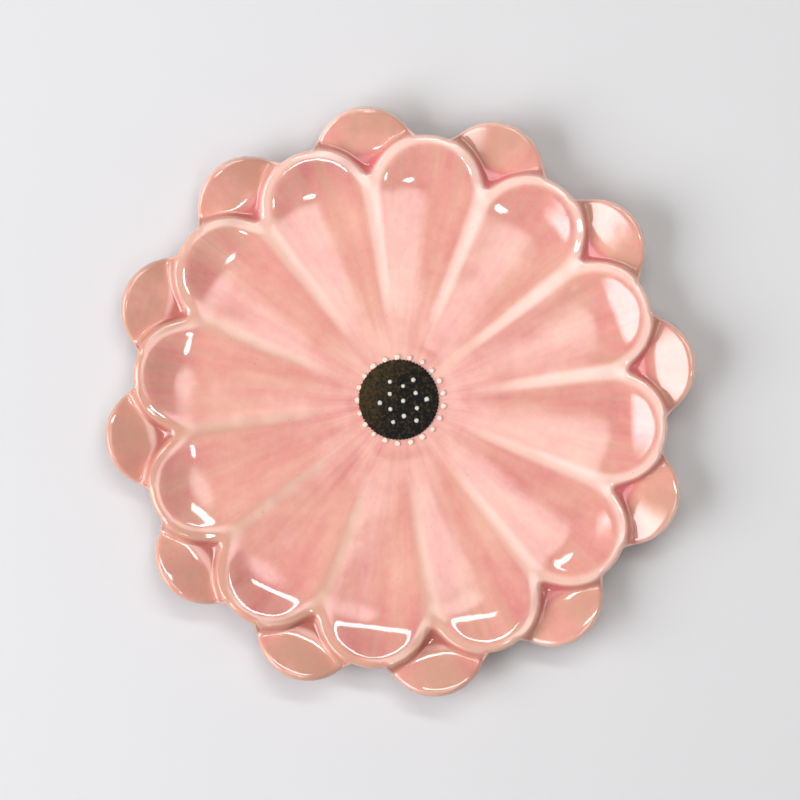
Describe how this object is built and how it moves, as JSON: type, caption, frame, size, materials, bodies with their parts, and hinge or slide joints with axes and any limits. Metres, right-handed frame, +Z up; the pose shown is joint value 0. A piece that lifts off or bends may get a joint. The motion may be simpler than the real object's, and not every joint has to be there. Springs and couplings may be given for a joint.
{
  "type": "mixing palette",
  "caption": "Flower-shaped glazed ceramic paint palette: long petal wells round a dark dotted button, short outer wells, and a foot ring.",
  "frame": {"origin": "on the resting plane under the middle of the dish", "axes": "+Z up through the dish; +X and +Y in the resting plane, with a long well 23 degrees from +X"},
  "size_m": [0.1636, 0.1636, 0.0136],
  "materials": {
    "pink_glaze": "glossy translucent pink glaze, paler on the ridges",
    "bare_clay": "dry unglazed buff clay",
    "dark_slip": "matte near-black underglaze, brown at its edge",
    "white_slip": "satin white trailed slip",
    "cream_slip": "glossy cream trailed slip"
  },
  "bodies": {
    "root": {"petal_dish": "pink_glaze", "foot_ring": "bare_clay", "centre_button": "dark_slip", "button_dots": "white_slip", "collar_dots": "cream_slip"}
  },
  "joints": []
}
